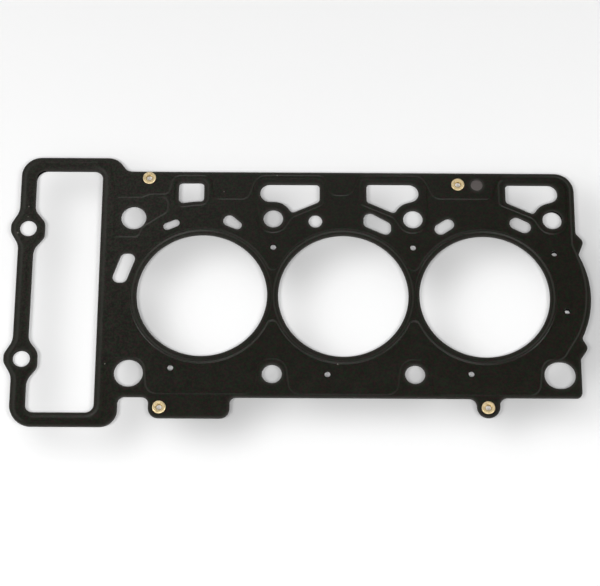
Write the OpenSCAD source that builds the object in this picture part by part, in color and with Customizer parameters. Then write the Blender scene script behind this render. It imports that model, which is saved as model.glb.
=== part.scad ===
// Multi-layer steel cylinder head gasket for a small three-cylinder engine.
// It lies flat: X runs along the row of bores, Y across it, Z up through the layers.
// The origin is on the axis of the middle bore, at the underside of the eyelets.
// The pressed beads and half-beads of the two coated sheets are mirror images about the core.

/* [Bores] */
// Distance from one bore axis to the next
bore_pitch = 73.5; // [72.8:0.1:74.2]
// Diameter of each cylinder bore opening
bore_d = 67.8; // [66:0.1:68.4]

/* [Sheets] */
// Thickness of each embossed, coated sheet
sheet_t = 0.25; // [0.2:0.01:0.3]
// Thickness of the flat steel core
core_t = 0.4; // [0.2:0.05:0.8]

/* [Pressing] */
// Height of the half-bead step between the low and the high ground
step_h = 0.2; // [0.12:0.01:0.25]
// Width of the half-bead slope, seen from above
step_w = 1.2; // [0.9:0.1:1.4]
// Height of the full bead round each bore
bead_h = 0.3; // [0.15:0.01:0.35]
// Width of the full bead, foot to foot
bead_w = 2.6; // [2.2:0.1:3]
// Width of each flank of the full bead, seen from above
bead_flank = 1; // [0.7:0.1:1]
// Flat land between a bore's edge and the foot of its bead
bead_land = 1.7; // [1:0.1:1.7]
// Radius of the bead's outer flank where two bores' beads part beside a web
bead_fillet = 3; // [2:0.5:4]
// Width of the raised lip round the chain-case opening
lip_w = 2.1; // [1.8:0.1:2.3]
// Width of the raised rim round the smallest gallery opening
rim_w = 2.1; // [1.8:0.1:2.3]

/* [Bolts and dowels] */
// Distance between the two rows of head bolts
bolt_rows = 86.8; // [86:0.1:88]
// Diameter of a head bolt hole
bolt_d = 10.3; // [9.5:0.1:11]
// Diameter of the wider bolt hole at the back left, which clears a sleeve
sleeve_d = 13.2; // [12:0.1:13.6]
// Diameter of the round dowel hole
dowel_d = 14.9; // [14:0.1:15.2]
// Extra length of the slotted dowel hole
dowel_slot = 1.3; // [0.8:0.1:1.6]
// Diameter of the two bolt holes in the chain-case rail
case_bolt_d = 9.3; // [9:0.1:9.6]
// Diameter of the same two holes in the core, which centres on the bolts
case_core_d = 8.8; // [8:0.1:9]
// Diameter of the oil feed hole
oil_d = 7.2; // [6:0.1:8]
// Diameter of the small coolant and vent holes
vent_d = 3; // [2:0.1:3.4]

/* [Eyelets] */
// Outer diameter of an eyelet's flange
eyelet_d = 6.9; // [6:0.1:7.2]
// Diameter of the hole through an eyelet
eyelet_hole_d = 2.9; // [2.4:0.1:3.2]
// Height of an eyelet's domed upper flange
eyelet_dome = 0.45; // [0.3:0.05:0.6]
// Thickness of an eyelet's rolled lower flange
eyelet_foot = 0.3; // [0.2:0.05:0.4]
// Wall thickness of an eyelet's barrel
eyelet_wall = 0.6; // [0.3:0.05:0.7]
// Play round the barrel in the sheets' holes
eyelet_play = 0.1; // [0.05:0.05:0.2]

/* [Hidden] */

$fn = 96;
// Largest gap allowed between a rounded corner and its straight segments
chord_error = 0.06;
// How far a cutter runs past the face that it cuts
over = 1;
// How far joined stretches of one sheet run into each other
lap = 0.1;
// Straight segments of a half turn, and of a fillet, in the full bead's outer flank
half_turn_steps = 21;
fillet_steps = 6;
// How far the crest of an eyelet's head, and the edge of its foot, stand in from the head's edge
crest_inset = 0.7;
foot_inset = 0.3;
// Flare at the lower end of an eyelet's hole, and rounding of its foot
funnel_flare = 0.3;
foot_round = 0.1;

// Heights of the stack, from the eyelets' feet upward
bottom_z = eyelet_foot;
core_z = bottom_z + step_h + sheet_t;
top_z = core_z + core_t;
flange_z = top_z + step_h + sheet_t;

bores = [for (i = [-1:1]) [i * bore_pitch, 0]];
back_y = bolt_rows / 2;
// Foot of the full bead beside the bore, and middle of its outer flank
bead_foot_r = bore_d / 2 + bead_land;
bead_outer_r = bead_foot_r + bead_w - bead_flank / 2;

// Head bolts that share one plain size, the rest being the sleeve and dowel places
plain_bolts = [
    [-bore_pitch / 2, back_y], [bore_pitch / 2, back_y],
    [-bore_pitch / 2, -back_y], [bore_pitch / 2, -back_y]
];
end_x = 1.5 * bore_pitch;
// The lower sheets' hole for the bolt at the back right sits a little to one side
lower_bolt_shift = [-0.3, -0.35];
// The slotted dowel hole sits a little outboard of its bolt, and is slightly narrower than the round one
dowel_slot_x = end_x + 0.8;
dowel_slot_r = dowel_d / 2 - 0.1;
case_bolts = [[-165.5, 37.1], [-165.5, -35.9]];
eyelets = [[-102.7, 66.5], [60.8, 63.6], [-94.1, -61.8], [73.8, -61.2]];
core_window = [70.85, 63.35];
core_window_d = 6.3;

// Every outline below is a list of corners [x, y, radius], clockwise seen from above.

outline = [
    [-170.4, 77.9, 10.5], [-120.2, 77.9, 9], [-114.2, 70.1, 4.5], [122.1, 70.1, 10.5],
    // right end, bulging round the third bore
    [122.1, 35.7, 2.5], [126.1, 31.0, 3], [123.2, 23.5, 2], [134.3, 0, 52],
    [123.2, -23.3, 2], [126.2, -28.4, 3], [122.1, -34.6, 2.5], [122.1, -55.7, 3],
    // front edge with its eyelet tabs
    [79.9, -55.7, 4], [79.9, -66.5, 5.95], [68.0, -66.5, 5.95], [68.0, -56.2, 4],
    [-58.1, -56.2, 3.2], [-58.1, -67.5, 5.2], [-99.7, -67.5, 5.2], [-99.7, -56.2, 3.6],
    [-115.4, -56.2, 3.6], [-115.4, -72.4, 9], [-170.4, -72.4, 11.5],
    // left rail with its two bolt bosses
    [-170.4, -45.1, 10], [-174.7, -37.8, 5], [-174.7, -33.4, 5], [-170.4, -26.1, 10],
    [-170.4, 27.7, 10], [-174.6, 35.0, 5], [-174.6, 39.4, 5], [-170.4, 46.7, 10]
];

// The lower sheets have a rounder corner here, which shows inside the upper one's
function chain_opening(back_r) = [
    [-162.3, 70.3, back_r], [-127.35, 70.3, 4.5], [-127.35, -65.0, 4.5], [-162.3, -65.0, 4],
    [-162.4, -47.5, 10], [-157.2, -40.5, 5], [-157.2, -32.5, 5], [-162.4, -25.5, 8],
    [-162.3, 25.3, 10], [-156.7, 32.3, 5], [-156.7, 40.3, 5], [-162.3, 47.3, 8]
];

upper_opening = chain_opening(4.3);
lower_opening = chain_opening(6);

gallery_1 = [
    [-86.85, 63.9, 2], [-73.5, 63.9, 2], [-73.5, 53.0, 1.9], [-78.5, 52.95, 20],
    [-86.85, 51.65, 2.4]
];
gallery_2 = [
    [-43.8, 63.3, 5.1], [-12.4, 63.3, 1.9], [-12.4, 53.1, 2.5], [-27.3, 46.4, 2],
    [-30.8, 53.0, 9.6], [-43.8, 53.0, 5.1]
];
gallery_3 = [
    [12.4, 63.6, 1.9], [39.9, 63.6, 5.2], [39.9, 54.5, 4.8], [30.0, 51.5, 9.7],
    [27.05, 46.4, 2], [12.4, 53.2, 2.4]
];
gallery_4 = shifted(gallery_3, bore_pitch);

coolant_slots = [
    [[-121.5, 6.5, 3.2], [-115.9, 23.2, 3.2], [-107.6, 23.2, 3.2], [-113.5, 6.5, 3.2]],
    [[10.75, 49.3, 3.4], [25.15, 41.1, 3], [25.15, 33.1, 2.8], [10.75, 39.4, 3]]
];
// Slots with round ends: [x, y, radius] at each end
round_slots = [
    [[-92.5, 38.75, 2.15], [-88.2, 40.7, 2.15]],
    [[-59.9, 42.2, 3.25], [-55.8, 39.6, 2.45]],
    [[51.3, 38.0, 3.2], [55.25, 40.7, 3.2]],
    [[91.15, 41.5, 3.45], [95.4, 39.4, 3.45]]
];
vents = [[-36.65, 27.1], [36.65, 27.2], [-88.9, -40.4], [-8.2, -43.5], [65.6, -43.0]];
// Vents whose holes in the lower sheets sit a little to one side: [x, y, shift x, shift y]
offset_vents = [[110.6, 24.3, -0.1, -0.9], [116.2, -8.0, -0.3, -0.9]];
oil_hole = [-14.6, 42.0];

// Edge of the low ground: a channel round the chain case, then the coolant field round the bores
low_edge = concat(
    [
        [-168.3, 75.7, 8.5], [-121.6, 75.7, 9.5], [-121.6, 55.2, 3],
        [-106.6, 55.2, 8], [-101.5, 57.2, 8], [-92.2, 57.2, 3], [-89.9, 68.1, 5],
        [-70.3, 68.1, 4.5], [-68.2, 54.5, 4], [-50.3, 54.5, 5], [-45.6, 68.4, 7],
        [-9.9, 68.4, 4], [-6.9, 56.9, 5], [4.1, 56.9, 5], [8.9, 68.6, 4],
        [41.6, 68.6, 7], [48.3, 55.2, 5], [78.3, 55.2, 4], [83.0, 68.6, 4],
        [120.1, 68.6, 8.5]
    ],
    [
        [120.1, 29.5, 6], [130.3, 0, 55], [121.2, -21.5, 20], [112.9, -34.9, 5],
        [102.6, -34.9, 6], [100.3, -54.5, 6]
    ],
    front_bell(bore_pitch / 2),
    front_bell(-bore_pitch / 2),
    [
        [-100.9, -54.5, 6], [-102.9, -35.0, 6], [-122.0, -35.0, 2.5], [-122.0, -70.3, 7],
        [-168.3, -70.3, 9]
    ],
    case_boss_edge(case_bolts[1].y),
    case_boss_edge(case_bolts[0].y)
);

// The low ground's edge steps round each front bolt like a bell
function front_bell(x) = [
    [x + 9.2, -54.5, 6], [x + 6.9, -35.3, 7], [x - 6.9, -35.3, 7], [x - 9.2, -54.5, 6]
];

// It swings out round each bolt hole of the chain-case rail
function case_boss_edge(y) = [
    [-168.3, y - 9.9, 8], [-172.5, y - 2.3, 4.5], [-172.5, y + 2.4, 4.5], [-168.3, y + 9.9, 8]
];

// Raised ground that stands in the low ground round the galleries and the back row of bolts
sleeve_pad = [
    [-120.4, 53.6, 2], [-106.4, 53.6, 8], [-101.3, 55.5, 8], [-92.2, 55.5, 4],
    [-92.6, 46.9, 3], [-105.6, 38.2, 4], [-107.6, 32.5, 3], [-120.4, 32.5, 2.5]
];
pad_2 = [
    [-48.4, 66.2, 6], [-10.6, 66.2, 3], [-10.6, 51.6, 3], [-26.9, 44.1, 6],
    [-32.3, 35.4, 7.9], [-43.9, 35.4, 7.9]
];
pad_3 = [
    [8.8, 66.2, 3], [44.4, 66.2, 6], [44.6, 35.4, 7.9], [32.1, 35.4, 7.9],
    [26.7, 44.2, 6], [9.0, 51.9, 3]
];
pad_4 = shifted(pad_3, bore_pitch);
pads = [sleeve_pad, pad_2, pad_3, pad_4];

function shifted(corners, dx) = [for (c = corners) [c.x + dx, c.y, c[2]]];
function unit(v) = v / norm(v);
function turn(v, a) = [v.x * cos(a) - v.y * sin(a), v.x * sin(a) + v.y * cos(a)];

// Arc round corner b of a clockwise outline, moved outward by d. Its number of points doesn't depend on d.
function corner_arc(a, b, c, d) =
    let (
        u = unit([a.x - b.x, a.y - b.y]),
        v = unit([c.x - b.x, c.y - b.y]),
        half = acos(u * v) / 2,
        side = sign(u.x * v.y - u.y * v.x),
        centre = [b.x, b.y] + unit(u + v) * b[2] / sin(half),
        spoke = turn(u, -90 * side),
        sweep = 180 - 2 * half,
        steps = max(1, ceil(sweep / (2 * acos(1 - chord_error / max(b[2], 1)))))
    )
    [for (i = [0:steps]) centre + turn(spoke, -side * sweep * i / steps) * (b[2] + side * d)];

// Closed outline through rounded corners, moved outward by d all round
function track(corners, d = 0) =
    let (n = len(corners))
    [
        for (i = [0:n - 1])
            each corner_arc(corners[(i + n - 1) % n], corners[i], corners[(i + 1) % n], d)
    ];

function arc(centre, r, a1, a2, steps) =
    [for (i = [0:steps]) let (a = a1 + (a2 - a1) * i / steps) centre + r * [cos(a), sin(a)]];

// Middle of the full bead's outer flank, moved outward by d: three arcs joined by fillets beside the webs
function bead_track(d) =
    let (
        r = bead_outer_r + d,
        fillet_r = bead_fillet - d,
        fillet_y = sqrt((bead_outer_r + bead_fillet) ^ 2 - (bore_pitch / 2) ^ 2),
        lean = atan2(fillet_y, bore_pitch / 2)
    )
    concat(
        arc(bores[0], r, -lean, lean - 360, 2 * half_turn_steps),
        arc([-bore_pitch / 2, fillet_y], fillet_r, 180 + lean, 360 - lean, fillet_steps),
        arc(bores[1], r, 180 - lean, lean, half_turn_steps),
        arc([bore_pitch / 2, fillet_y], fillet_r, 180 + lean, 360 - lean, fillet_steps),
        arc(bores[2], r, 180 - lean, lean - 180, 2 * half_turn_steps),
        arc([bore_pitch / 2, -fillet_y], fillet_r, lean, 180 - lean, fillet_steps),
        arc(bores[1], r, -lean, lean - 180, half_turn_steps),
        arc([-bore_pitch / 2, -fillet_y], fillet_r, lean, 180 - lean, fillet_steps)
    );

// Outline of a slot whose two round ends may differ in size
function slot_track(p, q) =
    let (
        run = [q.x - p.x, q.y - p.y],
        heading = atan2(run.y, run.x),
        lean = acos((p[2] - q[2]) / norm(run)),
        steps = 12
    )
    concat(
        arc([p.x, p.y], p[2], heading + lean, heading + 360 - lean, steps),
        arc([q.x, q.y], q[2], heading - lean, heading + lean, steps)
    );

// Sloping sheet between two closed outlines with matching points, inner one at z_in, outer one at z_out
module slope(inner, outer, z_in, z_out) {
    n = len(inner);
    points = concat(
        [for (p = inner) [p.x, p.y, z_in]],
        [for (p = inner) [p.x, p.y, z_in + sheet_t]],
        [for (p = outer) [p.x, p.y, z_out + sheet_t]],
        [for (p = outer) [p.x, p.y, z_out]]
    );
    polyhedron(points, [
        for (side = [0:3]) for (i = [0:n - 1])
            let (j = (i + 1) % n, next = (side + 1) % 4)
            [side * n + i, next * n + i, next * n + j, side * n + j]
    ]);
}

// Half-bead step centred on an outline moved outward by d
module step_slope(corners, d, z_in, z_out) {
    slope(track(corners, d - step_w / 2), track(corners, d + step_w / 2), z_in, z_out);
}

// Prism under a closed outline
module prism(corners, d, z, h) {
    translate([0, 0, z])
        linear_extrude(h)
            polygon(track(corners, d));
}

// Round bars that cut or fill at each place in a list
module bars(places, d, z, h) {
    for (p = places)
        translate([p.x, p.y, z])
            cylinder(d = d, h = h);
}

module slot_cut(p, q, z, h) {
    translate([0, 0, z])
        linear_extrude(h)
            polygon(slot_track(p, q));
}

// Everything that is cut through a sheet, apart from the case bolts' holes.
// The lower sheets' places differ a little from the top one's.
module openings(z, h, lower) {
    bars(bores, bore_d, z, h);
    prism(lower ? lower_opening : upper_opening, 0, z, h);
    for (g = [gallery_1, gallery_2, gallery_3, gallery_4, coolant_slots[0], coolant_slots[1]])
        prism(g, 0, z, h);
    for (s = round_slots)
        slot_cut(s[0], s[1], z, h);
    bars(plain_bolts, bolt_d, z, h);
    bars([[-end_x, back_y]], sleeve_d, z, h);
    bars([[end_x, back_y] + (lower ? lower_bolt_shift : [0, 0])], bolt_d, z, h);
    bars([[-end_x, -back_y]], dowel_d, z, h);
    slot_cut([dowel_slot_x - dowel_slot / 2, -back_y, dowel_slot_r],
        [dowel_slot_x + dowel_slot / 2, -back_y, dowel_slot_r], z, h);
    bars([oil_hole], oil_d, z, h);
    bars(vents, vent_d, z, h);
    bars([for (v = offset_vents) [v.x, v.y] + (lower ? [v[2], v[3]] : [0, 0])], vent_d, z, h);
    bars(eyelets, eyelet_hole_d + 2 * (eyelet_wall + eyelet_play), z, h);
}

// Low ground of a sheet: the field outside the beads, and a land round each bore.
// It runs a little way into each slope.
module low_ground() {
    reach = step_w / 2 - lap;
    difference() {
        prism(low_edge, -reach, 0, sheet_t);
        prism(lower_opening, lip_w + reach, -over, sheet_t + 2 * over);
        prism(gallery_1, rim_w + reach, -over, sheet_t + 2 * over);
        for (pad = pads)
            prism(pad, reach, -over, sheet_t + 2 * over);
        translate([0, 0, -over])
            linear_extrude(sheet_t + 2 * over)
                polygon(bead_track(bead_flank / 2 - lap));
    }
    bars(bores, 2 * (bead_foot_r + lap), 0, sheet_t);
}

// High ground of a sheet: its outer margin, the lip, the rim and the pads
module high_ground() {
    reach = step_w / 2 - lap;
    difference() {
        prism(outline, 0, step_h, sheet_t);
        prism(low_edge, reach, -over, step_h + sheet_t + 2 * over);
    }
    prism(lower_opening, lip_w - reach, step_h, sheet_t);
    prism(gallery_1, rim_w - reach, step_h, sheet_t);
    for (pad = pads)
        prism(pad, -reach, step_h, sheet_t);
}

// Half-bead slopes between the two
module step_slopes() {
    step_slope(low_edge, 0, 0, step_h);
    step_slope(lower_opening, lip_w, step_h, 0);
    step_slope(gallery_1, rim_w, step_h, 0);
    for (pad = pads)
        step_slope(pad, 0, step_h, 0);
}

// Full bead round the bores: a flank beside each bore, a shared crest, and one outer flank round them all
module full_bead() {
    for (b = bores)
        translate([b.x, b.y, 0])
            rotate_extrude($fn = 180)
                polygon([
                    [bead_foot_r, 0], [bead_foot_r, sheet_t],
                    [bead_foot_r + bead_flank, bead_h + sheet_t], [bead_foot_r + bead_flank, bead_h]
                ]);
    difference() {
        translate([0, 0, bead_h])
            linear_extrude(sheet_t)
                polygon(bead_track(lap - bead_flank / 2));
        bars(bores, 2 * (bead_foot_r + bead_flank - lap), 0, bead_h + sheet_t + over);
    }
    slope(bead_track(-bead_flank / 2), bead_track(bead_flank / 2), bead_h, 0);
}

// One embossed sheet, low ground at z = 0, high ground step_h above it
module embossed_sheet(lower) {
    depth = bead_h + sheet_t + 2 * over;
    difference() {
        union() {
            low_ground();
            high_ground();
            step_slopes();
            full_bead();
        }
        openings(-over, depth, lower);
        bars(case_bolts, case_bolt_d, -over, depth);
        bars([core_window], core_window_d, -over, depth);
    }
}

module top_layer() {
    color([0.13, 0.13, 0.11])
        translate([0, 0, top_z])
            embossed_sheet(false);
}

module core_layer() {
    color([0.45, 0.42, 0.42])
        difference() {
            prism(outline, 0, core_z, core_t);
            openings(core_z - over, core_t + 2 * over, true);
            bars(case_bolts, case_core_d, core_z - over, core_t + 2 * over);
        }
}

module bottom_layer() {
    color([0.12, 0.12, 0.1])
        translate([0, 0, core_z])
            mirror([0, 0, 1])
                embossed_sheet(true);
}

// Tubular eyelet: head rolled over into a ring with a funnel inside it, straight barrel, rolled foot
module eyelet(place) {
    hole_r = eyelet_hole_d / 2;
    barrel_r = hole_r + eyelet_wall;
    head_r = eyelet_d / 2;
    foot_r = head_r - foot_inset;
    crest_r = head_r - crest_inset;
    head = [
        for (a = [0:15:180])
            let (reach = a < 90 ? head_r - crest_r : crest_r - hole_r)
            [crest_r + reach * cos(a), flange_z + eyelet_dome * sin(a)]
    ];
    color([0.62, 0.47, 0.22])
        translate([place.x, place.y, 0])
            rotate_extrude()
                polygon(concat(
                    head,
                    [[hole_r, eyelet_foot], [hole_r + funnel_flare, 0], [foot_r - foot_round, 0]],
                    [[foot_r, foot_round], [foot_r, eyelet_foot]],
                    [[barrel_r, eyelet_foot], [barrel_r, flange_z]]
                ));
}

module eyelet_top_left() {
    eyelet(eyelets[0]);
}

module eyelet_top_right() {
    eyelet(eyelets[1]);
}

module eyelet_bottom_left() {
    eyelet(eyelets[2]);
}

module eyelet_bottom_right() {
    eyelet(eyelets[3]);
}

top_layer();
core_layer();
bottom_layer();
eyelet_top_left();
eyelet_top_right();
eyelet_bottom_left();
eyelet_bottom_right();
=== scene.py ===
import bpy
import numpy as np
from mathutils import Matrix
from mathutils.geometry import delaunay_2d_cdt


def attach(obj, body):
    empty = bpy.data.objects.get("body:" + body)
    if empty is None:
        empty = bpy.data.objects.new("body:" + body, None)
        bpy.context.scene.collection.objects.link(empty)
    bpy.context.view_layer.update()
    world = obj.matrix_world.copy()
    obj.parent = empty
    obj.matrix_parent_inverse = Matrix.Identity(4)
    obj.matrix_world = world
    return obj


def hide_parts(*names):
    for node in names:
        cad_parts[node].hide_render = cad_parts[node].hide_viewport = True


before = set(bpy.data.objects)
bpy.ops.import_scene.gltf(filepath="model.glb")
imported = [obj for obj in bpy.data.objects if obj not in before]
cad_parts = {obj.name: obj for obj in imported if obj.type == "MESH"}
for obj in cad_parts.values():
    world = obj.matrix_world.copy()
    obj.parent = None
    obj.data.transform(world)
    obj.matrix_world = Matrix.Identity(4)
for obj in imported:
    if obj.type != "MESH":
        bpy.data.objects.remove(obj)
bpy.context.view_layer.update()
print("frame loaded:", ", ".join(sorted(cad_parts)))

mm = 0.001  # every size below is in millimetres, and meshes are in metres

# Sizes that the three sheets share, with heights from the floor
layout = {
    "borePitch": 73.5,
    "boreRadius": 33.9,
    "caseBoltRadius": 4.65,
    "caseBoltCoreRadius": 4.4,
    "eyeletHoleRadius": 2.15,
    "sheetThickness": 0.25,
    "coreThickness": 0.4,
    "coreUnderside": 0.75,
    "flangeUnderside": 1.6,
}
# How finely outlines and their triangles are worked out
fineness = {
    "chordGap": 0.012,  # most that a chord leaves its circle by
    "smallestArc": 0.5,  # radius below which an arc gets no more steps
    "edgesAtOnce": 48,
    "weld": 1e-5,
}

# Rounded corners [x, y, radius] of each outline, clockwise seen from above
outerCorners = [
    [-170.4, 77.9, 10.5], [-120.2, 77.9, 9], [-114.2, 70.1, 4.5], [122.1, 70.1, 10.5],
    [122.1, 35.7, 2.5], [126.1, 31.0, 3], [123.2, 23.5, 2], [134.3, 0, 52],
    [123.2, -23.3, 2], [126.2, -28.4, 3], [122.1, -34.6, 2.5], [122.1, -55.7, 3],
    [79.9, -55.7, 4], [79.9, -66.5, 5.95], [68.0, -66.5, 5.95], [68.0, -56.2, 4],
    [-58.1, -56.2, 3.2], [-58.1, -67.5, 5.2], [-99.7, -67.5, 5.2], [-99.7, -56.2, 3.6],
    [-115.4, -56.2, 3.6], [-115.4, -72.4, 9], [-170.4, -72.4, 11.5],
    [-170.4, -45.1, 10], [-174.7, -37.8, 5], [-174.7, -33.4, 5], [-170.4, -26.1, 10],
    [-170.4, 27.7, 10], [-174.6, 35.0, 5], [-174.6, 39.4, 5], [-170.4, 46.7, 10],
]
chainCaseCorners = [
    [-162.3, 70.3, 4.3], [-127.35, 70.3, 4.5], [-127.35, -65.0, 4.5], [-162.3, -65.0, 4],
    [-162.4, -47.5, 10], [-157.2, -40.5, 5], [-157.2, -32.5, 5], [-162.4, -25.5, 8],
    [-162.3, 25.3, 10], [-156.7, 32.3, 5], [-156.7, 40.3, 5], [-162.3, 47.3, 8],
]
lowerCaseCorners = [[-162.3, 70.3, 6]] + chainCaseCorners[1:]  # in the core and the lower sheet
galleryCorners = [
    [[-86.85, 63.9, 2], [-73.5, 63.9, 2], [-73.5, 53.0, 1.9], [-78.5, 52.95, 20],
     [-86.85, 51.65, 2.4]],
    [[-43.8, 63.3, 5.1], [-12.4, 63.3, 1.9], [-12.4, 53.1, 2.5], [-27.3, 46.4, 2],
     [-30.8, 53.0, 9.6], [-43.8, 53.0, 5.1]],
    [[12.4, 63.6, 1.9], [39.9, 63.6, 5.2], [39.9, 54.5, 4.8], [30.0, 51.5, 9.7],
     [27.05, 46.4, 2], [12.4, 53.2, 2.4]],
]
coolantCorners = [
    [[-121.5, 6.5, 3.2], [-115.9, 23.2, 3.2], [-107.6, 23.2, 3.2], [-113.5, 6.5, 3.2]],
    [[10.75, 49.3, 3.4], [25.15, 41.1, 3], [25.15, 33.1, 2.8], [10.75, 39.4, 3]],
]
padCorners = [
    [[-120.4, 53.6, 2], [-106.4, 53.6, 8], [-101.3, 55.5, 8], [-92.2, 55.5, 4],
     [-92.6, 46.9, 3], [-105.6, 38.2, 4], [-107.6, 32.5, 3], [-120.4, 32.5, 2.5]],
    [[-48.4, 66.2, 6], [-10.6, 66.2, 3], [-10.6, 51.6, 3], [-26.9, 44.1, 6],
     [-32.3, 35.4, 7.9], [-43.9, 35.4, 7.9]],
    [[8.8, 66.2, 3], [44.4, 66.2, 6], [44.6, 35.4, 7.9], [32.1, 35.4, 7.9],
     [26.7, 44.2, 6], [9.0, 51.9, 3]],
]
# The outer step: back edge and right end, the bell round a front bolt, front left, and a rail boss
lowEdgeBack = [
    [-168.3, 75.7, 8.5], [-121.6, 75.7, 9.5], [-121.6, 55.2, 3],
    [-106.6, 55.2, 8], [-101.5, 57.2, 8], [-92.2, 57.2, 3], [-89.9, 68.1, 5],
    [-70.3, 68.1, 4.5], [-68.2, 54.5, 4], [-50.3, 54.5, 5], [-45.6, 68.4, 7],
    [-9.9, 68.4, 4], [-6.9, 56.9, 5], [4.1, 56.9, 5], [8.9, 68.6, 4],
    [41.6, 68.6, 7], [48.3, 55.2, 5], [78.3, 55.2, 4], [83.0, 68.6, 4], [120.1, 68.6, 8.5],
    [120.1, 29.5, 6], [130.3, 0, 55], [121.2, -21.5, 20], [112.9, -34.9, 5],
    [102.6, -34.9, 6], [100.3, -54.5, 6],
]
frontBell = [[9.2, -54.5, 6], [6.9, -35.3, 7], [-6.9, -35.3, 7], [-9.2, -54.5, 6]]
lowEdgeFrontLeft = [
    [-100.9, -54.5, 6], [-102.9, -35.0, 6], [-122.0, -35.0, 2.5], [-122.0, -70.3, 7],
    [-168.3, -70.3, 9],
]
caseBossEdge = [[-168.3, -9.9, 8], [-172.5, -2.3, 4.5], [-172.5, 2.4, 4.5], [-168.3, 9.9, 8]]
# Slots with round ends: [x, y, radius] at each end
roundSlots = [
    [[-92.5, 38.75, 2.15], [-88.2, 40.7, 2.15]],
    [[-59.9, 42.2, 3.25], [-55.8, 39.6, 2.45]],
    [[51.3, 38.0, 3.2], [55.25, 40.7, 3.2]],
    [[91.15, 41.5, 3.45], [95.4, 39.4, 3.45]],
    [[110.4, -43.4, 7.35], [111.7, -43.4, 7.35]],
]
# Round holes: x, y, diameter in the top sheet, then how far aside the hole below it lies
roundHoles = [
    [-110.25, 43.4, 13.2, 0, 0], [-110.25, -43.4, 14.9, 0, 0], [-14.6, 42.0, 7.2, 0, 0],
    [-36.75, 43.4, 10.3, 0, 0], [36.75, 43.4, 10.3, 0, 0], [110.25, 43.4, 10.3, -0.3, -0.35],
    [-36.75, -43.4, 10.3, 0, 0], [36.75, -43.4, 10.3, 0, 0],
    [-36.65, 27.1, 3, 0, 0], [36.65, 27.2, 3, 0, 0], [-88.9, -40.4, 3, 0, 0],
    [-8.2, -43.5, 3, 0, 0], [65.6, -43.0, 3, 0, 0],
    [110.6, 24.3, 3, -0.1, -0.9], [116.2, -8.0, 3, -0.3, -0.9],
]
caseBolts = [[-165.5, 37.1], [-165.5, -35.9]]
coreWindow = [70.85, 63.35, 3.15]  # x, y, radius
eyeletPlaces = {
    "eyelet_top_left": [-102.7, 66.5], "eyelet_top_right": [60.8, 63.6],
    "eyelet_bottom_left": [-94.1, -61.8], "eyelet_bottom_right": [73.8, -61.2],
}


# An outline is a closed chain of arcs joined by straight lines. Each arc is a row:
# centre x, centre y, radius, start angle, signed sweep, and +1 or -1 as it grows or shrinks outward.
def cornerArcs(corners):
    # each centre lies on its corner's bisector, at the radius over the sine of half the corner
    table = np.array(corners, float)
    place, radius = table[:, :2], table[:, 2]
    toLast = np.roll(place, 1, 0) - place
    toNext = np.roll(place, -1, 0) - place
    toLast /= np.linalg.norm(toLast, axis=1)[:, None]
    toNext /= np.linalg.norm(toNext, axis=1)[:, None]
    half = np.arccos((toLast * toNext).sum(1)) / 2
    side = np.sign(toLast[:, 0] * toNext[:, 1] - toLast[:, 1] * toNext[:, 0])
    inward = toLast + toNext
    inward /= np.linalg.norm(inward, axis=1)[:, None]
    centre = place + inward * (radius / np.sin(half))[:, None]
    start = np.arctan2(toLast[:, 1], toLast[:, 0]) - side * np.pi / 2
    return np.column_stack([centre, radius, start, -side * (np.pi - 2 * half), side])


def circleArcs(x, y, radius):
    # one arc that goes all the way round
    return np.array([[x, y, radius, 0, 2 * np.pi, 1]])


def slotArcs(ends):
    # both tangents touch an end where its radius leans by the arc cosine of
    # the radii's difference over the ends' distance
    (x1, y1, r1), (x2, y2, r2) = ends
    heading = np.arctan2(y2 - y1, x2 - x1)
    lean = np.arccos((r1 - r2) / np.hypot(x2 - x1, y2 - y1))
    return np.array([
        [x1, y1, r1, heading + lean, 2 * np.pi - 2 * lean, 1],
        [x2, y2, r2, heading - lean, 2 * lean, 1],
    ])


def outlinePoints(arcs, offset=0.0):
    # centre plus radius along each angle, in steps that keep every chord near its circle
    radius = arcs[:, 2] + arcs[:, 5] * offset
    widest = np.arccos(1 - fineness["chordGap"] / np.maximum(radius, fineness["smallestArc"]))
    steps = np.maximum(2, np.ceil(np.abs(arcs[:, 4]) / (2 * widest))).astype(int)
    fullCircle = np.abs(arcs[:, 4]) > 2 * np.pi - 1e-9
    counts = steps + np.where(fullCircle, 0, 1)
    row = np.repeat(np.arange(len(arcs)), counts)
    along = np.arange(counts.sum()) - np.repeat(np.cumsum(counts) - counts, counts)
    angle = arcs[row, 3] + arcs[row, 4] * along / steps[row]
    return arcs[row, :2] + radius[row, None] * np.column_stack([np.cos(angle), np.sin(angle)])


def insideLoop(points, loop):
    # a point is inside when a ray from it towards +X crosses the loop an odd number of times
    crossings = np.zeros(len(points), int)
    edges = np.column_stack([loop, np.roll(loop, -1, 0)])
    edges = edges[edges[:, 1] != edges[:, 3]]
    x, y = points[:, :1], points[:, 1:]
    for block in np.array_split(edges, len(edges) // fineness["edgesAtOnce"] + 1):
        x1, y1, x2, y2 = block.T
        level = (y1 > y) != (y2 > y)
        crossings += (level & (x < x1 + (y - y1) * (x2 - x1) / (y2 - y1))).sum(1)
    return crossings % 2 == 1


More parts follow.
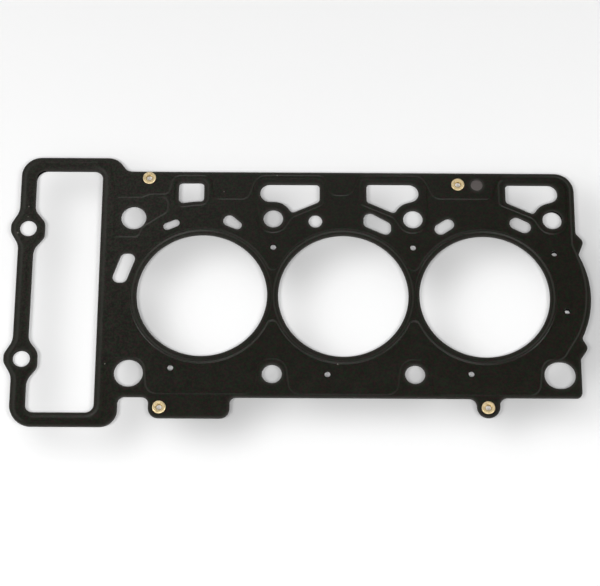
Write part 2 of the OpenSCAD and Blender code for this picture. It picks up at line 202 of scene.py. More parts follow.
def outlineDistance(points, arcs):
    # distance to the nearest arc or straight line of the chain, negative inside it
    angles = arcs[:, 3:4] + arcs[:, 4:5] * np.array([[0, 0.5, 1]])
    rays = np.stack([np.cos(angles), np.sin(angles)], 2)
    first = arcs[:, :2] + arcs[:, 2:3] * rays[:, 0]
    last = arcs[:, :2] + arcs[:, 2:3] * rays[:, 2]
    out = points[:, None] - arcs[:, :2]
    reach = np.linalg.norm(out, axis=2)
    halfSweep = np.minimum(np.abs(arcs[:, 4]) / 2, np.pi)
    facing = (out * rays[:, 1]).sum(2) >= reach * np.cos(halfSweep)
    arcGap = np.where(facing, np.abs(reach - arcs[:, 2]), np.inf).min(1)
    run = np.roll(first, -1, 0) - last
    length = np.maximum((run ** 2).sum(1), 1e-12)
    share = np.clip(((points[:, None] - last) * run).sum(2) / length, 0, 1)
    aside = points[:, None] - last - share[:, :, None] * run
    gap = np.minimum(arcGap, np.linalg.norm(aside, axis=2).min(1))
    return np.where(insideLoop(points, outlinePoints(arcs)), -gap, gap)


def moved(corners, dx, dy=0.0):
    # the same corners, carried aside
    return [[x + dx, y + dy, radius] for x, y, radius in corners]


def boreCentres():
    # x of the three bores, one pitch apart about the middle one
    return layout["borePitch"] * np.array([-1.0, 0.0, 1.0])


# The pressed relief of the two coated sheets, and the painted sheen and wear that follow it
pressing = {
    "stepHeight": 0.2,
    "stepWidth": 1.3,
    "caseStepWidth": 2.3,  # left of caseEdge
    "caseEdge": -122.5,
    "caseBlend": 2,
    "bendShare": 0.38,  # share of a slope that its foot takes, and its crest
    "lipWidth": 2.1,
    "rimWidth": 2.1,
    "beadHeight": 0.3,
    "beadWidth": 2.6,
    "beadFlank": 1.3,
    "beadLand": 1.7,
    "beadFillet": 3.0,
    "railShares": [-0.6, -0.5, -0.4, -0.31, -0.2, 0, 0.2, 0.31, 0.4, 0.5, 0.6],
    "caseRails": [-1.15, -0.98, -0.8, 0.8, 0.98, 1.15],
    # painted sheen and wear on the slopes; the lean, middle and back values place painted sheen only
    "sheenAndWear": 1.2,
    "sheenAndWearFade": 0.0055,  # more painted sheen and wear for each millimetre towards the chain case
    "sheenAndWearReach": 60,
    "sheenAndWearLeast": 0.25,
    "sheenLean": 0.017,
    "sheenMiddle": 10.0,
    "sheenBack": 0.35,
    "sheenAndWearLimit": 0.6,
    "rollDepth": 0.05,
    "rollWidth": 0.16,
    "rollShares": (0, 0.45, 1),
    "bandRails": [0.5, 1.0, 1.7, 2.6],
    "bandWidth": 0.8,
    "bandShares": (0.72, 0.28),  # of the narrow and the wide part of the pale band
    "ventRadius": 2.5,  # holes up to this radius have no band
}


def beadArcs():
    # three arcs round the bores, joined beside the webs by fillets that touch both
    pitch = layout["borePitch"]
    foot = layout["boreRadius"] + pressing["beadLand"] + pressing["beadWidth"]
    outer, fillet = foot - pressing["beadFlank"] / 2, pressing["beadFillet"]
    rise = np.sqrt((outer + fillet) ** 2 - (pitch / 2) ** 2)
    lean = np.arctan2(rise, pitch / 2)
    end, top, dip = 2 * lean - 2 * np.pi, 2 * lean - np.pi, np.pi - 2 * lean
    return np.array([
        [-pitch, 0, outer, -lean, end, 1], [-pitch / 2, rise, fillet, np.pi + lean, dip, -1],
        [0, 0, outer, np.pi - lean, top, 1], [pitch / 2, rise, fillet, np.pi + lean, dip, -1],
        [pitch, 0, outer, np.pi - lean, end, 1], [pitch / 2, -rise, fillet, lean, dip, -1],
        [0, 0, outer, -lean, top, 1], [-pitch / 2, -rise, fillet, lean, dip, -1],
    ])


def lowEdgeArcs():
    # the outer step once round, clockwise from the back left
    pitch = layout["borePitch"]
    bells = moved(frontBell, pitch / 2) + moved(frontBell, -pitch / 2)
    backBoss, frontBoss = [moved(caseBossEdge, 0, y) for x, y in caseBolts]
    return cornerArcs(lowEdgeBack + bells + lowEdgeFrontLeft + frontBoss + backBoss)


def raisedOutlines():
    # each outline of raised ground, how far out its slope's middle is, and which side is high
    pads = padCorners + [moved(padCorners[2], layout["borePitch"])]
    return [
        (lowEdgeArcs(), 0.0, 1),
        (cornerArcs(lowerCaseCorners), pressing["lipWidth"], -1),
        (cornerArcs(galleryCorners[0]), pressing["rimWidth"], -1),
    ] + [(cornerArcs(pad), 0.0, -1) for pad in pads]


def smoothStep(t):
    # 0 to 1 while t goes from -0.5 to 0.5: a straight slope with a rounded foot and crest
    s, bend = np.clip(t + 0.5, 0, 1), pressing["bendShare"]
    foot = np.minimum(s, bend) ** 2 / 2 / bend
    crest = np.minimum(1 - s, bend) ** 2 / 2 / bend
    straight = np.clip(s, bend, 1 - bend) - bend
    return (foot + straight + bend / 2 - crest) / (1 - bend)


def stepWidths(points):
    # the steps round the chain case are gentler than the others
    beyond = smoothStep((points[:, 0] - pressing["caseEdge"]) / pressing["caseBlend"])
    narrow, wide = pressing["stepWidth"], pressing["caseStepWidth"]
    return wide + beyond * (narrow - wide)


def pressedRelief(points):
    # height is the higher of the stepped ground and the full bead, each a smooth step
    # of the distance to its own outline
    widths = stepWidths(points)
    rises = [side * (outlineDistance(points, arcs) - out) / widths
             for arcs, out, side in raisedOutlines()]
    ground = pressing["stepHeight"] * smoothStep(np.max(rises, 0))
    flank, foot = pressing["beadFlank"], layout["boreRadius"] + pressing["beadLand"]
    inner = np.min([(np.hypot(points[:, 0] - x, points[:, 1]) - foot) / flank - 0.5
                    for x in boreCentres()], 0)
    outer = -outlineDistance(points, beadArcs()) / flank
    return np.maximum(ground, pressing["beadHeight"] * smoothStep(np.minimum(inner, outer)))


def flankSheenAndWear(points, lean):
    # painted sheen and wear grow with the slope, the painted sheen mostly where it faces
    # sideways to the middle, and both towards the chain case
    toMiddle = pressing["sheenMiddle"] - points[:, 0]
    steep = np.hypot(lean[:, 0], pressing["sheenBack"] * np.minimum(lean[:, 1], 0))
    nearer = np.minimum(toMiddle, pressing["sheenAndWearReach"])
    along = np.maximum(pressing["sheenAndWear"] + pressing["sheenAndWearFade"] * nearer, pressing["sheenAndWearLeast"])
    # the leaning term is painted sheen: lighter where a slope faces the middle
    sheenAndWear = along * steep + pressing["sheenLean"] * toMiddle * lean[:, 0]
    return np.clip(sheenAndWear, 0, pressing["sheenAndWearLimit"])


def paleBand(gap):
    # a bell curve of the gap to a cut edge, plus a wider and fainter fall; on the coat it places
    # painted sheen, on the core painted shade
    near, wide = pressing["bandShares"]
    band = near * np.exp(-(gap / pressing["bandWidth"]) ** 2)
    return band + wide * np.clip(1 - gap / pressing["bandRails"][-1], 0, 1) ** 2


def cutOutlines(kind):
    # every outline that is cut through a sheet of this kind: top, core or bottom
    lower = 0 if kind == "top" else 1
    corners = [lowerCaseCorners if lower else chainCaseCorners] + galleryCorners
    corners += [moved(galleryCorners[2], layout["borePitch"])] + coolantCorners
    cuts = [cornerArcs(c) for c in corners] + [slotArcs(ends) for ends in roundSlots]
    cuts += [circleArcs(x, 0, layout["boreRadius"]) for x in boreCentres()]
    cuts += [circleArcs(x + lower * dx, y + lower * dy, d / 2) for x, y, d, dx, dy in roundHoles]
    boltRadius = layout["caseBoltCoreRadius" if kind == "core" else "caseBoltRadius"]
    cuts += [circleArcs(x, y, boltRadius) for x, y in caseBolts]
    cuts += [circleArcs(x, y, layout["eyeletHoleRadius"]) for x, y in eyeletPlaces.values()]
    return cuts if kind == "core" else cuts + [circleArcs(*coreWindow)]


def reliefRails():
    # outlines offset across each slope, so that triangles follow the pressed shape
    rails, outlines = [], raisedOutlines()
    for arcs, out, side in outlines:
        rails += [outlinePoints(arcs, out + share * pressing["stepWidth"])
                  for share in pressing["railShares"]]
    for arcs, out, side in outlines[:2]:
        rails += [outlinePoints(arcs, out + gap) for gap in pressing["caseRails"]]
    flank, foot = pressing["beadFlank"], layout["boreRadius"] + pressing["beadLand"]
    for share in pressing["railShares"]:
        rails.append(outlinePoints(beadArcs(), share * flank))
        rails += [outlinePoints(circleArcs(x, 0, foot + flank * (0.5 + share)))
                  for x in boreCentres()]
    return rails


def planTriangles(outer, cuts, rails):
    # constrained triangulation of the plan, less what lies outside the outer edge or in a cut
    offsets = [share * pressing["rollWidth"] for share in pressing["rollShares"]]
    loops = [outlinePoints(outer, -offset) for offset in offsets]
    loops += [outlinePoints(cut, offset) for cut in cuts for offset in offsets] + rails
    for gap in pressing["bandRails"]:
        loops += [outlinePoints(outer, -gap)] + [outlinePoints(cut, gap) for cut in cuts]
    sizes = np.array([len(loop) for loop in loops])
    points = np.concatenate(loops)
    start = np.repeat(np.cumsum(sizes) - sizes, sizes)
    following = start + (np.arange(len(points)) - start + 1) % np.repeat(sizes, sizes)
    edges = np.column_stack([np.arange(len(points)), following])
    found = delaunay_2d_cdt(points.tolist(), edges.tolist(), [], 0, fineness["weld"], False)
    points, triangles = np.array(found[0], float), np.array(found[2], int)
    middle = points[triangles].mean(1)
    keep = insideLoop(middle, loops[0])
    for cut in cuts:
        keep &= ~insideLoop(middle, outlinePoints(cut))
    used, renumbered = np.unique(triangles[keep], return_inverse=True)
    return points[used], renumbered.reshape(-1, 3)


def edgeKeys(ends, count):
    # one number for each edge, whichever way it runs: lower corner times the count, plus the higher
    return np.sort(ends, 1) @ np.array([count, 1])


def cutEdges(triangles):
    # edges of one triangle only, each with the sheet on its left
    directed = np.concatenate([triangles[:, [0, 1]], triangles[:, [1, 2]], triangles[:, [2, 0]]])
    keys = edgeKeys(directed, triangles.max() + 1)
    _, first, count = np.unique(keys, return_index=True, return_counts=True)
    return directed[first[count == 1]]


def storeValues(mesh, name, domain, values, kind="FLOAT"):
    # one value for each point, corner or edge, which a material or the shading reads
    mesh.attributes.new(name, kind, domain).data.foreach_set("value", values)


def placeInScene(name, mesh):
    # the object stays at the origin, with its place in its mesh
    piece = bpy.data.objects.new(name, mesh)
    bpy.context.scene.collection.objects.link(piece)
    print(name, len(mesh.vertices), "vertices,", len(mesh.polygons), "faces")
    return piece


def solidSheet(name, kind, base, thickness, rails, facing):
    # the plan lifted to its relief and again by the thickness, with walls along every cut;
    # facing is +1 where the finished side looks up, and -1 where it looks down
    outer, cuts = cornerArcs(outerCorners), cutOutlines(kind)
    points, triangles = planTriangles(outer, cuts, rails)
    relief = pressedRelief(points) if rails else np.zeros(len(points))
    gaps = np.array([np.abs(outlineDistance(points, arcs)) for arcs in [outer] + cuts])
    gap = gaps.min(0)
    roll = pressing["rollDepth"] * np.clip(1 - gap / pressing["rollWidth"], 0, 1) ** 2
    inner = np.column_stack([points, base + facing * relief])
    finished = np.column_stack([points, base + facing * (relief + thickness - roll)])
    rim, count = cutEdges(triangles), len(points)
    walls = np.column_stack([rim[:, 0], rim[:, 1], rim[:, 1] + count, rim[:, 0] + count])
    tops, undersides = triangles + count, triangles[:, ::-1]
    if facing < 0:
        walls, tops, undersides = walls[:, ::-1], tops[:, ::-1], undersides[:, ::-1]
    mesh = bpy.data.meshes.new(name)
    mesh.from_pydata(np.concatenate([inner, finished]) * mm, [],
                     undersides.tolist() + tops.tolist() + walls.tolist())
    onWall = np.repeat([0.0, 1.0], [2 * triangles.size, walls.size])
    storeValues(mesh, "cutEdge", "CORNER", onWall)
    banded = [True] + [kind == "core" or cut[:, 2].max() > pressing["ventRadius"] for cut in cuts]
    storeValues(mesh, "edgeBand", "POINT", np.tile(paleBand(gaps[banded].min(0)), 2))
    normals = np.zeros((2 * count, 3))
    mesh.vertex_normals.foreach_get("vector", normals.ravel())
    offEdge = np.tile(gap > 2 * pressing["rollWidth"], 2)  # rolled edges carry no painted sheen or wear
    lean = normals[:, :2] * offEdge[:, None]
    storeValues(mesh, "sheenAndWear", "POINT", flankSheenAndWear(np.tile(points, (2, 1)), lean))
    mesh.shade_smooth()
    ends = np.zeros((len(mesh.edges), 2), int)
    mesh.edges.foreach_get("vertices", ends.ravel())
    rimKeys = edgeKeys(np.concatenate([rim, rim + count]), 2 * count)
    sharp = np.isin(edgeKeys(ends, 2 * count), rimKeys)
    storeValues(mesh, "sharp_edge", "EDGE", sharp, "BOOLEAN")
    return placeInScene(name, mesh)


# A rolled tubular eyelet. Radii are from its own axis, heights from the floor.
eyelet = {
    "throatRadius": 1.45,
    "flangeRadius": 3.45,
    "crestRadius": 2.8,
    "domeHeight": 0.45,
    "footRadius": 3.15,
    "footHeight": 0.3,
    "footCurl": 0.999,
    "barrelRadius": 2.05,
    "lipInset": 0.12,
    "footPlay": 0.001,
    "flangePlay": 0.002,
    "domeSteps": 19,
    "curlSteps": 15,
    "turnSteps": 72,
    "unevenness": 0.03,
}


def eyeletProfile():
    # closed profile of radius and height: domed ring, funnel, rolled foot and barrel
    flange, crest, throat = eyelet["flangeRadius"], eyelet["crestRadius"], eyelet["throatRadius"]
    top, foot, footHeight = layout["flangeUnderside"], eyelet["footRadius"], eyelet["footHeight"]
    swing = np.linspace(0, np.pi, eyelet["domeSteps"])
    reach = np.where(swing < np.pi / 2, flange - crest, crest - throat)
    head = np.column_stack([crest + reach * np.cos(swing),
                            top + eyelet["domeHeight"] * np.sin(swing)])
    curl = np.linspace(np.pi, 2 * np.pi, eyelet["curlSteps"])
    middle, half = (throat + foot) / 2, (foot - throat) / 2
    roll = np.column_stack([middle + half * np.cos(curl),
                            footHeight * (1 + np.sin(curl) * eyelet["footCurl"])])
    barrel, underFlange = eyelet["barrelRadius"], top - eyelet["flangePlay"]
    return np.concatenate([
        head, [[throat, (top + footHeight) / 2]], roll,
        [[barrel, footHeight + eyelet["footPlay"]], [barrel, underFlange],
         [flange - eyelet["lipInset"], underFlange]],
    ])


def eyeletMesh(name, place, seed):
    # the profile carried round the axis, its outer radii swelling and sinking by two sine waves
    profile, throat = eyeletProfile(), eyelet["throatRadius"]
    angle = np.linspace(0, 2 * np.pi, eyelet["turnSteps"], endpoint=False)
    waves = np.sin(3 * angle + seed) + 0.6 * np.sin(5 * angle + 2 * seed)  # 1.6 at most
    outward = np.clip((profile[:, :1] - throat) / (eyelet["flangeRadius"] - throat), 0, 1)
    radius = profile[:, :1] + outward * (eyelet["unevenness"] * waves / 1.6)
    rows, columns = len(profile), len(angle)
    points = np.stack([place[0] + radius * np.cos(angle), place[1] + radius * np.sin(angle),
                       np.repeat(profile[:, 1:], columns, 1)], 2).reshape(-1, 3)
    row, column = np.divmod(np.arange(rows * columns), columns)
    nextRow, nextColumn = (row + 1) % rows, (column + 1) % columns
    faces = np.column_stack([row * columns + column, row * columns + nextColumn,
                             nextRow * columns + nextColumn, nextRow * columns + column])
    mesh = bpy.data.meshes.new(name)
    mesh.from_pydata(points * mm, [], faces.tolist())
    storeValues(mesh, "ring", "POINT", np.repeat(profile[:, 0], columns))
    mesh.shade_smooth()
    return placeInScene(name, mesh)


def newMaterial(name):
    # an empty material with one principled shader
    material = bpy.data.materials.new(name)
    material.use_nodes = True
    tree = material.node_tree
    tree.nodes.clear()
    shader = addNode(tree, "BsdfPrincipled")
    addNode(tree, "OutputMaterial", Surface=shader.outputs[0])
    return material, tree, shader


def feed(tree, socket, value):
    # another node's output is linked to the socket, and anything else is set as its value
    if isinstance(value, bpy.types.NodeSocket):
        tree.links.new(value, socket)
    else:
        socket.default_value = value


def setSockets(tree, node, **sockets):
    # each input is named with underscores for spaces
    for name, value in sockets.items():
        feed(tree, node.inputs[name.replace("_", " ")], value)


def addNode(tree, kind, settings=None, **sockets):
    # a node of this kind, its settings first and then its inputs
    node = tree.nodes.new("ShaderNode" + kind)
    for key, value in (settings or {}).items():
        setattr(node, key, value)
    setSockets(tree, node, **sockets)
    return node


def useGroup(tree, group, **sockets):
    # a shared effect, with this material's own values
    return addNode(tree, "Group", {"node_tree": group}, **sockets)


def calculated(tree, operation, *values, kind="Math", result=0):
    # one step of arithmetic, its inputs in order
    node = addNode(tree, kind, {"operation": operation})
    for socket, value in zip(node.inputs, values):
        feed(tree, socket, value)
    return node.outputs[result]


def mapped(tree, value, low, high, atLow=0.0, atHigh=1.0, curve="LINEAR"):
    # atLow up to the low value, atHigh from the high one on, and a ramp between them
    node = addNode(tree, "MapRange", {"interpolation_type": curve}, Value=value,
                   From_Min=low, From_Max=high, To_Min=atLow, To_Max=atHigh)
    return node.outputs[0]


def colourMix(tree, share, first, second):
    # the first colour where the share is 0, and the second where it is 1
    node = addNode(tree, "Mix", {"data_type": "RGBA"})
    for index, value in ((0, share), (6, first), (7, second)):
        feed(tree, node.inputs[index], value)
    return node.outputs[2]


def stored(tree, name):
    # what storeValues put on the mesh under this name
    return addNode(tree, "Attribute", {"attribute_name": name}).outputs["Fac"]


def objectPlace(tree):
    # the place on the piece, in metres
    return addNode(tree, "TexCoord").outputs["Object"]


def rgb(red, green, blue):
    # linear light, opaque
    return (red, green, blue, 1.0)


def newGroup(name, inputs, outputs):
    # a node group with these named inputs and outputs
    group = bpy.data.node_groups.new(name, "ShaderNodeTree")
    for socketName, kind, value in inputs:
        socket = group.interface.new_socket(socketName, in_out="INPUT",
                                            socket_type="NodeSocket" + kind)
        if value is not None:
            socket.default_value = value
    for socketName in outputs:
        group.interface.new_socket(socketName, in_out="OUTPUT", socket_type="NodeSocketFloat")
    return group, group.nodes.new("NodeGroupInput").outputs, group.nodes.new("NodeGroupOutput")


def grainGroup():
    # two noises, each with cells of the size given: fine grain, and slow cloudy patches
    group, given, result = newGroup(
        "surfaceGrain",
        [("Vector", "Vector", None), ("Grain Size", "Float", 0.3), ("Patch Size", "Float", 20.0)],
        ["Grain", "Patches"],
    )
    fine = calculated(group, "DIVIDE", 1 / mm, given["Grain Size"])
    slow = calculated(group, "DIVIDE", 1 / mm, given["Patch Size"])
    grain = addNode(group, "TexNoise", Vector=given["Vector"], Scale=fine,
                    Detail=2.0, Roughness=0.6)
    patches = addNode(group, "TexNoise", Vector=given["Vector"], Scale=slow,
                      Detail=3.0, Roughness=0.5)
    setSockets(group, result, Grain=grain.outputs[0], Patches=patches.outputs[0])
    return group


speckShape = {
    "noiseDensity": 2.5,
    "noiseShare": 0.8,  # of the radius, added by the noise to the steady share
    "steadyShare": 0.5,
    "fade": (0.75, 1.15),
}


def speckGroup():
    # one small speck at a place: 1 inside its ragged radius, fading at its edge
    group, given, result = newGroup(
        "speck",
        [("Vector", "Vector", None), ("Place", "Vector", None), ("Radius", "Float", 0.3)],
        ["Mask"],
    )
    ragged = addNode(group, "TexNoise", Vector=given["Vector"],
                     Scale=speckShape["noiseDensity"] / mm, Detail=2.0)
    away = calculated(group, "SUBTRACT", given["Vector"], given["Place"], kind="VectorMath")
    flat = calculated(group, "MULTIPLY", away, (1 / mm, 1 / mm, 0), kind="VectorMath")
    length = calculated(group, "LENGTH", flat, kind="VectorMath", result="Value")
    grown = calculated(group, "MULTIPLY_ADD", ragged.outputs[0],
                       speckShape["noiseShare"], speckShape["steadyShare"])
    limit = calculated(group, "MULTIPLY", given["Radius"], grown)
    share = calculated(group, "DIVIDE", length, limit)
    mask = mapped(group, share, *speckShape["fade"], 1.0, 0.0, "SMOOTHSTEP")
    setSockets(group, result, Mask=mask)
    return group


# Near-black elastomer coating, mottled green and ruddy, with a painted pool of light that makes it
# paler towards one end of the chain case
coating = {
    "green": rgb(0.0014, 0.0098, 0.0018),
    "ruddy": rgb(0.0118, 0.0022, 0.0030),
    "paintedLightGreen": rgb(0.0120, 0.0200, 0.0115),
    "paintedLightRuddy": rgb(0.0220, 0.0125, 0.0130),
    "paintedLightPlace": (-0.16, 0.045, 0),  # metres
    "paintedLightReach": 0.155,
    "mottleSize": 1.5,
    "mottleRange": (0.37, 0.63),
    "dustSize": 0.95,
    "dustRange": (0.4, 0.6),
    "dustShares": (0.5, 1.5),
    "glossPatch": 7.0,
    "skinSize": 0.35,
    "skinDepth": 0.02,
    "skinStrength": 0.25,
    "cloudSize": 28.0,
    # colour of the painted sheen along the cut edges
    "edgeBand": rgb(0.031, 0.0295, 0.0255),
    # colour of the painted sheen on the pressed slopes, mixed with wear
    "flankSheenAndWear": rgb(0.038, 0.038, 0.032),
    "roughness": (0.28, 0.33),
    "specular": 0.42,
    "cutSteel": rgb(0.055, 0.047, 0.042),
    "specks": [
        (-165.8, 49.6, 0.35), (-166.0, 43.7, 0.3), (-171.0, 34.5, 0.55), (-122.5, -38.5, 0.4),
        (-63.0, 58.7, 0.3), (-3.0, -38.0, 0.4), (-35.0, 68.5, 0.3),
    ],
    "speckColour": rgb(0.16, 0.15, 0.13),
}
grainRange = (0.3, 0.7)  # what a noise mostly stays between


def coatedMaterial(grain, speck):
    # mottle times dust, then the pale band of painted sheen, the painted sheen and wear of the
    # slopes, bare cut steel and specks over it
    material, tree, shader = newMaterial("blackCoating")
    place, cloudSize = objectPlace(tree), coating["cloudSize"]
    skin = useGroup(tree, grain, Vector=place, Grain_Size=coating["skinSize"],
                    Patch_Size=cloudSize)
    tint = useGroup(tree, grain, Vector=place, Grain_Size=coating["mottleSize"],
                    Patch_Size=coating["glossPatch"])
    dust = useGroup(tree, grain, Vector=place, Grain_Size=coating["dustSize"],
                    Patch_Size=cloudSize)
    # painted pool of light: paler colours round one place near the chain case
    fromPaintedLight = calculated(tree, "DISTANCE", place, coating["paintedLightPlace"],
                          kind="VectorMath", result="Value")
    paintedLight = mapped(tree, fromPaintedLight, 0.0, coating["paintedLightReach"], 1.0, 0.0, "SMOOTHSTEP")
    green = colourMix(tree, paintedLight, coating["green"], coating["paintedLightGreen"])
    ruddy = colourMix(tree, paintedLight, coating["ruddy"], coating["paintedLightRuddy"])
    ruddiness = mapped(tree, tint.outputs["Grain"], *coating["mottleRange"])
    mottle = colourMix(tree, ruddiness, green, ruddy)
    share = mapped(tree, dust.outputs["Grain"], *coating["dustRange"], *coating["dustShares"])
    colour = addNode(tree, "VectorMath", {"operation": "SCALE"},
                     Vector=mottle, Scale=share).outputs[0]
    cut = stored(tree, "cutEdge")
    # painted sheen along the cut edges
    colour = colourMix(tree, stored(tree, "edgeBand"), colour, coating["edgeBand"])
    # painted sheen and wear on the slopes of the relief
    colour = colourMix(tree, stored(tree, "sheenAndWear"), colour, coating["flankSheenAndWear"])
    colour = colourMix(tree, cut, colour, coating["cutSteel"])
    for x, y, radius in coating["specks"]:
        spot = useGroup(tree, speck, Vector=place, Place=(x * mm, y * mm, 0), Radius=radius)
        colour = colourMix(tree, spot.outputs["Mask"], colour, coating["speckColour"])
    gloss = mapped(tree, tint.outputs["Patches"], *grainRange, *coating["roughness"])
    bump = addNode(tree, "Bump", Strength=coating["skinStrength"],
                   Distance=coating["skinDepth"] * mm, Height=skin.outputs["Grain"])
    setSockets(tree, shader, Base_Color=colour, Roughness=gloss, Metallic=cut,
               Normal=bump.outputs[0], Specular_IOR_Level=coating["specular"])
    return material


# Bare rolled steel with painted shade near the rims of its holes, where the sheets above shade it
core = {
    "colour": rgb(0.30, 0.265, 0.255),
    "shade": rgb(0.22, 0.195, 0.19),
    # near-black painted shade on the ledges round the holes
    "rim": rgb(0.003, 0.003, 0.0028),
    "rimShadeRange": (0.04, 0.2),  # in the values of the edge band
    "brushSize": 0.12,
    "brushStretch": 0.06,
    "brushDepth": 0.01,
    "brushStrength": 0.2,
    "cloudSize": 9.0,
    "specular": 0.1,
    "roughness": (0.38, 0.5),
}


def coreMaterial(grain):
    # noise stretched along the rolling direction, covered by painted shade where the edge band is
    material, tree, shader = newMaterial("bareCoreSteel")
    drawn = addNode(tree, "Mapping", Vector=objectPlace(tree), Scale=(core["brushStretch"], 1, 1))
    brushed = useGroup(tree, grain, Vector=drawn.outputs[0], Grain_Size=core["brushSize"],
                       Patch_Size=core["cloudSize"])
    # painted shade near the rims of the holes
    rimShade = mapped(tree, stored(tree, "edgeBand"), *core["rimShadeRange"])
    colour = colourMix(tree, brushed.outputs["Patches"], core["shade"], core["colour"])
    colour = colourMix(tree, rimShade, colour, core["rim"])
    gloss = mapped(tree, brushed.outputs["Grain"], *grainRange, *core["roughness"])
    bump = addNode(tree, "Bump", Strength=core["brushStrength"],
                   Distance=core["brushDepth"] * mm, Height=brushed.outputs["Grain"])
    setSockets(tree, shader, Base_Color=colour, Roughness=gloss, Normal=bump.outputs[0],
               Metallic=calculated(tree, "SUBTRACT", 1.0, rimShade),
               Specular_IOR_Level=core["specular"])
    return material


# Brass, tarnished in patches, with painted shade down the funnel, and turning marks in rings
brass = {
    "bright": rgb(0.96, 0.77, 0.45),
    "deep": rgb(0.42, 0.29, 0.10),
    "funnelShadeRange": (1.5, 2.3),  # radii over which the funnel's painted shade fades
    "patchRange": (0.4, 0.75),
    "patchTarnish": 0.5,
    "grainSize": 0.25,
    "patchSize": 2.2,
    "ringDensity": 9.0,
    "ringDepth": 0.03,
    "ringStrength": 0.3,
    "roughness": (0.30, 0.40),
    "metallic": 0.45,
}


def brassMaterial(grain):
    # darkening is the greater of the funnel's painted shade and the patches' tarnish
    material, tree, shader = newMaterial("rolledBrass")
    ring = stored(tree, "ring")
    tarnish = useGroup(tree, grain, Vector=objectPlace(tree), Grain_Size=brass["grainSize"],
                       Patch_Size=brass["patchSize"])
    # painted shade down the funnel, darkest at the throat
    funnel = mapped(tree, ring, *brass["funnelShadeRange"], 1.0, 0.0)
    patchy = mapped(tree, tarnish.outputs["Patches"], *brass["patchRange"],
                    0.0, brass["patchTarnish"])
    shadeAndTarnish = calculated(tree, "MAXIMUM", funnel, patchy)
    colour = colourMix(tree, shadeAndTarnish, brass["bright"], brass["deep"])
    turned = addNode(tree, "TexNoise", {"noise_dimensions": "1D"}, W=ring,
                     Scale=brass["ringDensity"], Detail=2.0)
    gloss = mapped(tree, tarnish.outputs["Grain"], *grainRange, *brass["roughness"])
    bump = addNode(tree, "Bump", Strength=brass["ringStrength"],
                   Distance=brass["ringDepth"] * mm, Height=turned.outputs[0])
    setSockets(tree, shader, Base_Color=colour, Roughness=gloss, Normal=bump.outputs[0],
               Metallic=brass["metallic"])
    return material


def dress(piece, material, nodeName):
    # the material, what the piece moves with, and the solid that it stands for, which is hidden
    piece.data.materials.append(material)
    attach(piece, "root")
    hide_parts(nodeName)


# Camera at the photograph's viewing angle: place in millimetres, turns in degrees
view = {
    "lens": 133.9,
    "sensor": 36.0,
    "place": (-23.50, -430.38, 1078.19),
    "yaw": -0.053,
    "tilt": 21.844,
    "roll": 0.305,
}


def addCamera():
    # turned about its own axes in the order yaw, tilt, roll, then moved to its place
    data = bpy.data.cameras.new("camera")
    data.sensor_fit = "HORIZONTAL"
    data.sensor_width, data.lens = view["sensor"], view["lens"]
    camera = bpy.data.objects.new("camera", data)
    turn = [Matrix.Rotation(np.radians(view[key]), 4, axis)
            for key, axis in (("yaw", "Y"), ("tilt", "X"), ("roll", "Z"))]
    place = Matrix.Translation(np.array(view["place"]) * mm)
    camera.matrix_world = place @ turn[0] @ turn[1] @ turn[2]
    bpy.context.scene.collection.objects.link(camera)
    bpy.context.scene.camera = camera


addCamera()

grain, speck = grainGroup(), speckGroup()
blackCoating = coatedMaterial(grain, speck)
bareSteel, rolledBrass = coreMaterial(grain), brassMaterial(grain)
print("materials made")

rails, sheet = reliefRails(), layout["sheetThickness"]
coreBase, coreThickness = layout["coreUnderside"], layout["coreThickness"]
topSheet = solidSheet("topSheet", "top", coreBase + coreThickness, sheet, rails, 1)
coreSheet = solidSheet("coreSheet", "core", coreBase, coreThickness, [], 1)
bottomSheet = solidSheet("bottomSheet", "bottom", coreBase, sheet, rails, -1)
dress(topSheet, blackCoating, "top_layer")
dress(coreSheet, bareSteel, "core_layer")
dress(bottomSheet, blackCoating, "bottom_layer")
for seed, (nodeName, place) in enumerate(eyeletPlaces.items()):
    pieceName = "rolled" + nodeName.title().replace("_", "")
    dress(eyeletMesh(pieceName, place, seed), rolledBrass, nodeName)
print("sheets and eyelets made")

# Pale floor with the broad soft shadow that a lamp at the upper left gives, and pale walls
studio = {
    "floorReach": 3000,
    "floorColour": rgb(0.9, 0.9, 0.9),
    "patchReach": (300, 220),
    "patchCell": 2.0,
    "shadowOffset": (12.6, -9.0),
    "shadowBlur": 9.0,
    "shadowDepth": 0.53,
    "eyeletLight": 10,  # squared reach of the light through an eyelet
    "cameraGlow": 0.17,
    "glowReach": (0.45, 1.6),  # metres from the middle, over which the floor turns white
    "worldLight": 0.09,
    "wallRise": (0.3, 0.6),  # upward share of a direction, from pale wall to dim ceiling
    "lampDistance": 1.3,  # metres
}


def blurred(grid, sigma):
    # Gaussian blur: the grid's spectrum times a bell curve
    fx, fy = np.meshgrid(np.fft.fftfreq(grid.shape[1]), np.fft.fftfreq(grid.shape[0]))
    bell = np.exp(-2 * (np.pi * sigma) ** 2 * (fx ** 2 + fy ** 2))
    return np.real(np.fft.ifft2(np.fft.fft2(grid) * bell))


def seenDirectly(tree):
    # 1 for what the camera sees, also in metal or through glass
    rays = addNode(tree, "LightPath").outputs
    seen = calculated(tree, "MAXIMUM", rays["Is Camera Ray"], rays["Is Glossy Ray"])
    return calculated(tree, "MAXIMUM", seen, rays["Is Transmission Ray"])


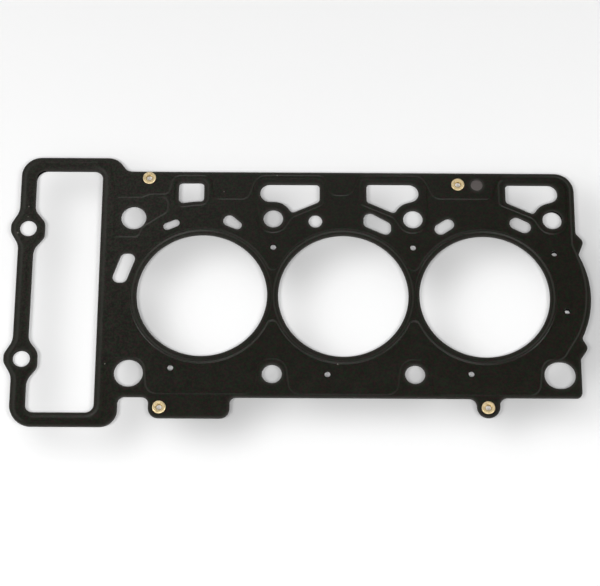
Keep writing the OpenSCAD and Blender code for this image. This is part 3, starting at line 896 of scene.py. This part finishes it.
def softShadow(x, y):
    # the core sheet's plan, moved aside and blurred, less the light through the eyelets
    dx, dy = studio["shadowOffset"]
    probe = np.column_stack([x.ravel() - dx, y.ravel() - dy])
    covered = insideLoop(probe, outlinePoints(cornerArcs(outerCorners)))
    for cut in cutOutlines("core"):
        covered &= ~insideLoop(probe, outlinePoints(cut))
    sigma = studio["shadowBlur"] / studio["patchCell"]
    shade = blurred(covered.reshape(x.shape).astype(float), sigma)
    for holeX, holeY in eyeletPlaces.values():
        away = (x - holeX) ** 2 + (y - holeY) ** 2
        shade *= 1 - np.exp(-away / studio["eyeletLight"])
    return shade


def floorMaterial():
    # black is mixed into the pale colour by the shadow, and the glow grows with the distance
    material, tree, shader = newMaterial("paleFloor")
    depth = calculated(tree, "MULTIPLY", stored(tree, "shade"), studio["shadowDepth"])
    away = calculated(tree, "LENGTH", objectPlace(tree), kind="VectorMath", result="Value")
    lit = mapped(tree, away, *studio["glowReach"], studio["cameraGlow"], 1.0, "SMOOTHSTEP")
    colour = colourMix(tree, depth, studio["floorColour"], rgb(0, 0, 0))
    setSockets(tree, shader, Base_Color=colour, Emission_Color=colour,
               Emission_Strength=calculated(tree, "MULTIPLY", seenDirectly(tree), lit),
               Roughness=1.0, Specular_IOR_Level=0.0)
    return material


def addFloor():
    # a fine grid under the part, with one wide row and column beyond it on every side
    reachX, reachY = studio["patchReach"]
    far, cell = studio["floorReach"], studio["patchCell"]
    x, y = np.meshgrid(np.arange(-reachX, reachX + 1, cell), np.arange(-reachY, reachY + 1, cell))
    shade = np.pad(softShadow(x, y), 1)
    gridX, gridY = np.meshgrid(np.concatenate([[-far], x[0], [far]]),
                               np.concatenate([[-far], y[:, 0], [far]]))
    index = np.arange(gridX.size).reshape(gridX.shape)
    faces = np.stack([index[:-1, :-1], index[:-1, 1:], index[1:, 1:], index[1:, :-1]], 2)
    mesh = bpy.data.meshes.new("floor")
    points = np.column_stack([gridX.ravel(), gridY.ravel(), np.zeros(gridX.size)]) * mm
    mesh.from_pydata(points, [], faces.reshape(-1, 4).tolist())
    storeValues(mesh, "shade", "POINT", shade.ravel())
    mesh.materials.append(floorMaterial())
    placeInScene("floor", mesh)


# Soft cards at a common distance: angles off the vertical towards +X and +Y, each card's sides
# in metres, and its power
lamps = {
    "overheadCard": {"angles": (0, -4), "sides": (0.5, 0.4), "power": 1.35},
    "backCard": {"angles": (0, 38), "sides": (0.4, 0.4), "power": 0.45},
    "frontCard": {"angles": (0, -42), "sides": (0.8, 0.4), "power": 4.5},
    "leftCard": {"angles": (-50, -20), "sides": (0.5, 0.6), "power": 8.7},
    "rightCard": {"angles": (50, -20), "sides": (0.5, 0.6), "power": 6.9},
}


def addLamps():
    # a card lies where the tangents of its angles point, at the common distance, facing the middle
    for name, values in lamps.items():
        data = bpy.data.lights.new(name, "AREA")
        data.shape, data.energy = "RECTANGLE", values["power"]
        data.size, data.size_y = values["sides"]
        right, back = np.tan(np.radians(values["angles"]))
        away = np.array([right, back, 1.0])
        away /= np.linalg.norm(away)
        side = np.cross([0, 1, 0], away)
        side /= np.linalg.norm(side)
        turn = Matrix(np.column_stack([side, np.cross(away, side), away]).tolist()).to_4x4()
        lamp = bpy.data.objects.new(name, data)
        lamp.matrix_world = Matrix.Translation(away * studio["lampDistance"]) @ turn
        bpy.context.scene.collection.objects.link(lamp)


def addWorld():
    # pale walls all round up to a level and a dim ceiling above them, and faint even light
    world = bpy.data.worlds.new("studioWorld")
    bpy.context.scene.world = world
    world.use_nodes = True
    tree = world.node_tree
    tree.nodes.clear()
    rise = addNode(tree, "SeparateXYZ", Vector=addNode(tree, "TexCoord").outputs["Generated"])
    wall = mapped(tree, rise.outputs["Z"], *studio["wallRise"], 1.0, 0.0, "SMOOTHSTEP")
    shown = calculated(tree, "MULTIPLY", wall, seenDirectly(tree))
    strength = mapped(tree, shown, 0.0, 1.0, studio["worldLight"], 1.0)
    background = addNode(tree, "Background", Color=rgb(1, 1, 1), Strength=strength)
    addNode(tree, "OutputWorld", Surface=background.outputs[0])


addFloor()
addLamps()
addWorld()
bpy.context.scene.view_settings.view_transform = "Standard"
print("studio made")
